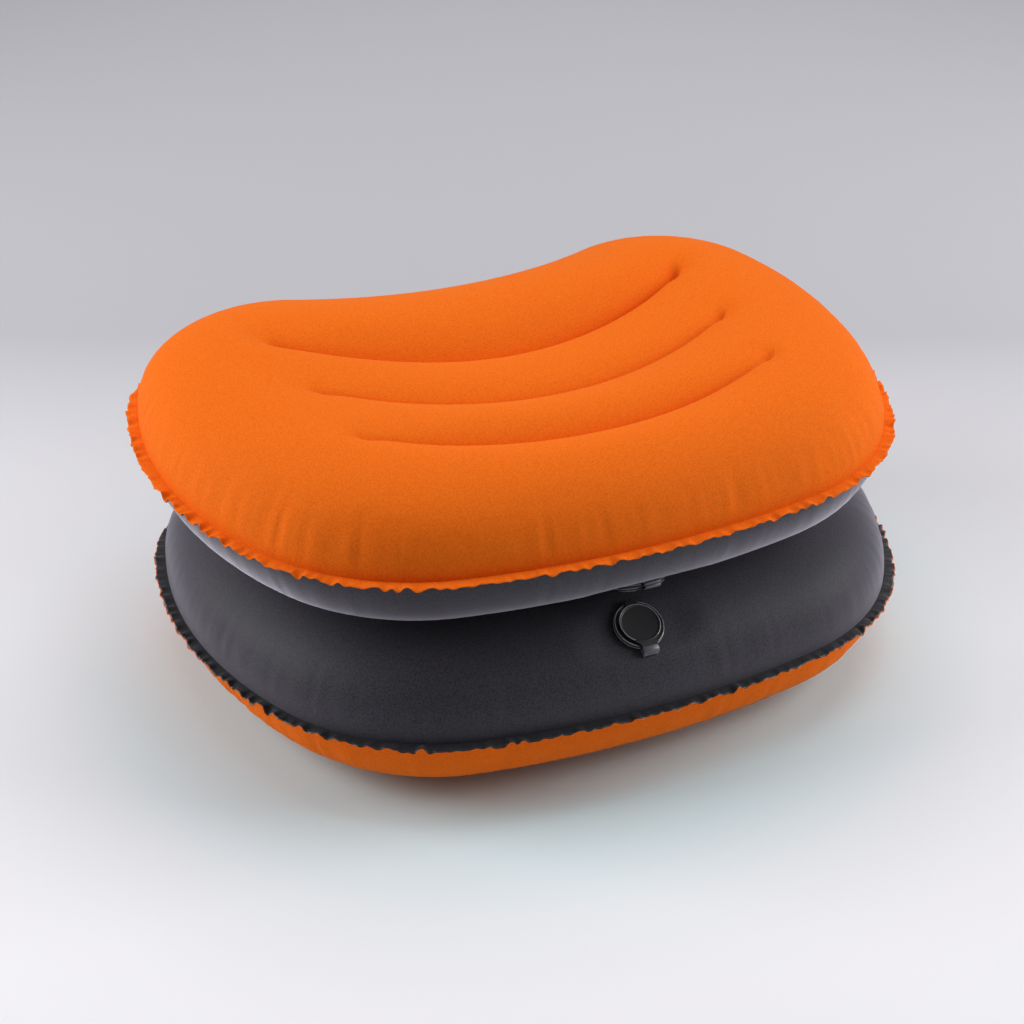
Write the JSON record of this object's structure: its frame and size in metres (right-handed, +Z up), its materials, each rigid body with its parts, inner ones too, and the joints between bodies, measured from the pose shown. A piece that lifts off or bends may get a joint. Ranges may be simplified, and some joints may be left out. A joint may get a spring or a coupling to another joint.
{
  "type": "camp pillow",
  "caption": "Inflatable kidney-shaped camp pillows stacked back to back, each with a grooved face, a plain back, a welded ruffled rim and a flat air valve with nested caps.",
  "frame": {"origin": "on the resting plane, under the middle of the stack's plan box", "axes": "+X along the pillows' length, +Y from the bulging front edge to the hollow back edge, +Z up through the stack"},
  "size_m": [0.429, 0.3274, 0.1863],
  "materials": {
    "orange_fabric": "matte brushed laminate",
    "grey_fabric": "matte brushed laminate",
    "film": "translucent film",
    "valve_black": "satin moulded"
  },
  "bodies": {
    "lower": {"lower_face_panel": "orange_fabric", "lower_back_panel": "grey_fabric", "lower_rear_tie": "film", "lower_middle_tie": "film", "lower_front_tie": "film", "lower_valve_base": "valve_black", "lower_ring_strap": "valve_black"},
    "lower_plug": {"lower_dump_ring": "valve_black", "lower_cap_strap": "valve_black"},
    "lower_cap": {"lower_inflate_cap": "valve_black"},
    "lower_flap": {"lower_check_flap": "film"},
    "upper": {"upper_face_panel": "orange_fabric", "upper_back_panel": "grey_fabric", "upper_rear_tie": "film", "upper_middle_tie": "film", "upper_front_tie": "film", "upper_valve_base": "valve_black", "upper_ring_strap": "valve_black"},
    "upper_plug": {"upper_dump_ring": "valve_black", "upper_cap_strap": "valve_black"},
    "upper_cap": {"upper_inflate_cap": "valve_black"},
    "upper_flap": {"upper_check_flap": "film"}
  },
  "joints": [
    {"name": "lower_ring_hinge", "type": "hinge", "parent": "lower", "child": "lower_plug", "pos_m": [-0.00275, -0.14784, 0.07598], "axis": [1, 0, 0], "range_deg": [0, 75]},
    {"name": "lower_cap_hinge", "type": "hinge", "parent": "lower_plug", "child": "lower_cap", "pos_m": [-0.00275, -0.14906, 0.07828], "axis": [1, 0, 0], "range_deg": [0, 100]},
    {"name": "lower_flap_hinge", "type": "hinge", "parent": "lower_plug", "child": "lower_flap", "pos_m": [-0.00275, -0.12709, 0.08487], "axis": [1, 0, 0], "range_deg": [0, 50], "stiffness_Nm_per_rad": 0.00002},
    {"name": "upper_ring_hinge", "type": "hinge", "parent": "upper", "child": "upper_plug", "pos_m": [0.00275, -0.13584, 0.11032], "axis": [-1, 0, 0], "range_deg": [0, 3.5]},
    {"name": "upper_cap_hinge", "type": "hinge", "parent": "upper_plug", "child": "upper_cap", "pos_m": [0.00275, -0.13706, 0.10802], "axis": [-1, 0, 0], "range_deg": [0, 4]},
    {"name": "upper_flap_hinge", "type": "hinge", "parent": "upper_plug", "child": "upper_flap", "pos_m": [0.00275, -0.11509, 0.10143], "axis": [-1, 0, 0], "range_deg": [0, 50], "stiffness_Nm_per_rad": 0.00002},
    {"name": "upper_lift", "type": "slide", "parent": "lower", "child": "upper", "axis": [0, 0, 1], "range_m": [0, 0.15]}
  ]
}
